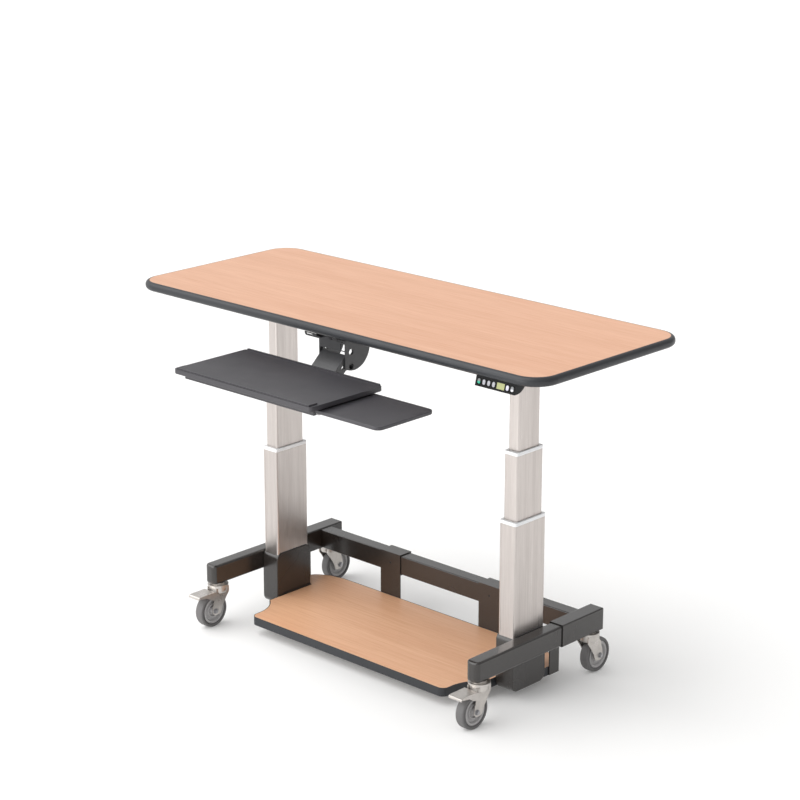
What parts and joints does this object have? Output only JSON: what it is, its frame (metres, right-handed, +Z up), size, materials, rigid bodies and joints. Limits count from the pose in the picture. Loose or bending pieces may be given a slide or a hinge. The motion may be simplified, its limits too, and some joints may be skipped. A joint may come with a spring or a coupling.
{
  "type": "height-adjustable medication workstation cart",
  "caption": "Tall wheeled workstation cart: beech-look worktop on telescoping columns, pull-out keyboard tray, low shelf, and a rail base on swivel casters.",
  "frame": {"origin": "on the floor under the casters, midway between the two lifting columns, at rest", "axes": "+X along the worktop to the user's right, +Y away from the user, +Z up"},
  "size_m": [1.524, 0.918, 1.023],
  "materials": {
    "base_paint": "satin charcoal powder coat",
    "column_brushed": "vertical brushed",
    "white_plastic": "matte white",
    "laminate": "pale beech laminate",
    "bumper": "satin dark grey",
    "black_plastic": "fine matte",
    "tray_plastic": "satin dark grey",
    "arm_paint": "satin dark grey",
    "zinc": "bright zinc plate",
    "bare_steel": "machined",
    "bright_aluminium": "drawn",
    "grey_plastic": "matte light grey",
    "tyre_grey": "matte grey non-marking",
    "button_grey": "matte light grey",
    "display": "glossy pale green"
  },
  "bodies": {
    "base": {"side_rails": "base_paint", "corner_sleeves": "base_paint", "rear_crossbar": "base_paint", "shelf_brackets": "base_paint", "shelf_board": "laminate", "shelf_edge_band": "bumper", "base_screws": "bare_steel", "column_housings": "base_paint", "outer_tubes": "column_brushed", "outer_glide_rings": "white_plastic", "lift_motors": "black_plastic", "caster_plates": "zinc"},
    "mid_left": {"middle_tube_left": "column_brushed", "middle_glide_ring_left": "white_plastic", "drive_tube_left": "bright_aluminium"},
    "mid_right": {"middle_tube_right": "column_brushed", "middle_glide_ring_right": "white_plastic", "drive_tube_right": "bright_aluminium"},
    "screw_left": {"lead_screw_left": "bare_steel"},
    "screw_right": {"lead_screw_right": "bare_steel"},
    "top": {"inner_tubes": "column_brushed", "thrust_tubes": "bright_aluminium", "column_heads": "base_paint", "cross_beam": "base_paint", "worktop_board": "laminate", "worktop_bumper": "bumper", "worktop_screws": "bare_steel", "control_box": "black_plastic", "power_inlet": "black_plastic", "handset_case": "black_plastic", "handset_display": "display", "keyboard_track": "arm_paint"},
    "glide": {"keyboard_glide": "grey_plastic"},
    "yoke": {"keyboard_yoke": "arm_paint"},
    "arm": {"keyboard_arm": "arm_paint"},
    "link": {"keyboard_link": "arm_paint"},
    "head": {"tilt_head": "bare_steel"},
    "tray": {"keyboard_tray": "tray_plastic", "tray_frame": "tray_plastic"},
    "mouse": {"mouse_tray": "tray_plastic"},
    "caster_front_left": {"caster_fork_front_left": "zinc"},
    "wheel_front_left": {"caster_hub_front_left": "grey_plastic", "caster_tyre_front_left": "tyre_grey"},
    "caster_front_right": {"caster_fork_front_right": "zinc"},
    "wheel_front_right": {"caster_hub_front_right": "grey_plastic", "caster_tyre_front_right": "tyre_grey"},
    "caster_rear_left": {"caster_fork_rear_left": "zinc"},
    "wheel_rear_left": {"caster_hub_rear_left": "grey_plastic", "caster_tyre_rear_left": "tyre_grey"},
    "caster_rear_right": {"caster_fork_rear_right": "zinc"},
    "wheel_rear_right": {"caster_hub_rear_right": "grey_plastic", "caster_tyre_rear_right": "tyre_grey"},
    "pedal_front_left": {"brake_pedal_front_left": "zinc"},
    "pedal_front_right": {"brake_pedal_front_right": "zinc"},
    "button_save": {"button_save": "button_grey"},
    "button_preset_one": {"button_preset_one": "button_grey"},
    "button_preset_two": {"button_preset_two": "button_grey"},
    "button_preset_three": {"button_preset_three": "button_grey"},
    "button_raise": {"button_raise": "button_grey"},
    "button_lower": {"button_lower": "button_grey"}
  },
  "joints": [
    {"name": "lift", "type": "slide", "parent": "base", "child": "top", "axis": [0, 0, 1], "range_m": [-0.33, 0.27]},
    {"name": "stage_left", "type": "slide", "parent": "base", "child": "mid_left", "axis": [0, 0, 1], "range_m": [-0.165, 0.135]},
    {"name": "screw_left", "type": "hinge", "parent": "base", "child": "screw_left", "pos_m": [-0.4625, 0, 0.1], "axis": [0, 0, 1], "range_deg": [-5945, 4865]},
    {"name": "stage_right", "type": "slide", "parent": "base", "child": "mid_right", "axis": [0, 0, 1], "range_m": [-0.165, 0.135]},
    {"name": "screw_right", "type": "hinge", "parent": "base", "child": "screw_right", "pos_m": [0.4625, 0, 0.1], "axis": [0, 0, 1], "range_deg": [-5945, 4865]},
    {"name": "track_slide", "type": "slide", "parent": "top", "child": "glide", "axis": [0, -1, 0], "range_m": [-0.3, 0]},
    {"name": "swivel", "type": "hinge", "parent": "glide", "child": "yoke", "pos_m": [0, -0.205, 0.97], "axis": [0, 0, 1], "range_deg": [-30, 30]},
    {"name": "arm_pivot", "type": "hinge", "parent": "yoke", "child": "arm", "pos_m": [0, -0.237, 0.948], "axis": [-1, 0, 0], "range_deg": [-12, 22]},
    {"name": "link_pivot", "type": "hinge", "parent": "yoke", "child": "link", "pos_m": [0, -0.237, 0.907], "axis": [-1, 0, 0], "range_deg": [-12, 22]},
    {"name": "head_pivot", "type": "hinge", "parent": "arm", "child": "head", "pos_m": [0, -0.34847, 0.84763], "axis": [-1, 0, 0], "range_deg": [-22, 12]},
    {"name": "tray_tilt", "type": "hinge", "parent": "head", "child": "tray", "pos_m": [0, -0.388, 0.868], "axis": [1, 0, 0], "range_deg": [-12, 10]},
    {"name": "mouse_slide", "type": "slide", "parent": "tray", "child": "mouse", "axis": [1, 0, 0], "range_m": [-0.2, 0]},
    {"name": "swivel_front_left", "type": "hinge", "parent": "base", "child": "caster_front_left", "pos_m": [-0.5155, -0.232, 0.11], "axis": [0, 0, 1], "continuous": true},
    {"name": "roll_front_left", "type": "hinge", "parent": "caster_front_left", "child": "wheel_front_left", "pos_m": [-0.5155, -0.262, 0.051], "axis": [1, 0, 0], "continuous": true},
    {"name": "swivel_front_right", "type": "hinge", "parent": "base", "child": "caster_front_right", "pos_m": [0.5155, -0.232, 0.11], "axis": [0, 0, 1], "continuous": true},
    {"name": "roll_front_right", "type": "hinge", "parent": "caster_front_right", "child": "wheel_front_right", "pos_m": [0.5155, -0.262, 0.051], "axis": [1, 0, 0], "continuous": true},
    {"name": "swivel_rear_left", "type": "hinge", "parent": "base", "child": "caster_rear_left", "pos_m": [-0.5155, 0.232, 0.11], "axis": [0, 0, 1], "continuous": true},
    {"name": "roll_rear_left", "type": "hinge", "parent": "caster_rear_left", "child": "wheel_rear_left", "pos_m": [-0.5155, 0.262, 0.051], "axis": [1, 0, 0], "continuous": true},
    {"name": "swivel_rear_right", "type": "hinge", "parent": "base", "child": "caster_rear_right", "pos_m": [0.5155, 0.232, 0.11], "axis": [0, 0, 1], "continuous": true},
    {"name": "roll_rear_right", "type": "hinge", "parent": "caster_rear_right", "child": "wheel_rear_right", "pos_m": [0.5155, 0.262, 0.051], "axis": [1, 0, 0], "continuous": true},
    {"name": "pedal_front_left", "type": "hinge", "parent": "caster_front_left", "child": "pedal_front_left", "pos_m": [-0.5155, -0.254, 0.092], "axis": [1, 0, 0], "range_deg": [0, 7]},
    {"name": "pedal_front_right", "type": "hinge", "parent": "caster_front_right", "child": "pedal_front_right", "pos_m": [0.5155, -0.254, 0.092], "axis": [1, 0, 0], "range_deg": [0, 7]},
    {"name": "press_save", "type": "slide", "parent": "top", "child": "button_save", "axis": [0, 0.9659, -0.2588], "range_m": [0, 0.0008], "stiffness_N_per_m": 500, "springref_m": -0.0004},
    {"name": "press_preset_one", "type": "slide", "parent": "top", "child": "button_preset_one", "axis": [0, 0.9659, -0.2588], "range_m": [0, 0.0008], "stiffness_N_per_m": 500, "springref_m": -0.0004},
    {"name": "press_preset_two", "type": "slide", "parent": "top", "child": "button_preset_two", "axis": [0, 0.9659, -0.2588], "range_m": [0, 0.0008], "stiffness_N_per_m": 500, "springref_m": -0.0004},
    {"name": "press_preset_three", "type": "slide", "parent": "top", "child": "button_preset_three", "axis": [0, 0.9659, -0.2588], "range_m": [0, 0.0008], "stiffness_N_per_m": 500, "springref_m": -0.0004},
    {"name": "press_raise", "type": "slide", "parent": "top", "child": "button_raise", "axis": [0, 0.9659, -0.2588], "range_m": [0, 0.0008], "stiffness_N_per_m": 500, "springref_m": -0.0004},
    {"name": "press_lower", "type": "slide", "parent": "top", "child": "button_lower", "axis": [0, 0.9659, -0.2588], "range_m": [0, 0.0008], "stiffness_N_per_m": 500, "springref_m": -0.0004}
  ],
  "couplings": [
    {"joint": "stage_left", "follows": "lift", "ratio": 0.5},
    {"joint": "screw_left", "follows": "lift", "rad_per_m": 314.16},
    {"joint": "stage_right", "follows": "lift", "ratio": 0.5},
    {"joint": "screw_right", "follows": "lift", "rad_per_m": 314.16},
    {"joint": "link_pivot", "follows": "arm_pivot", "ratio": 1},
    {"joint": "head_pivot", "follows": "arm_pivot", "ratio": -1}
  ]
}
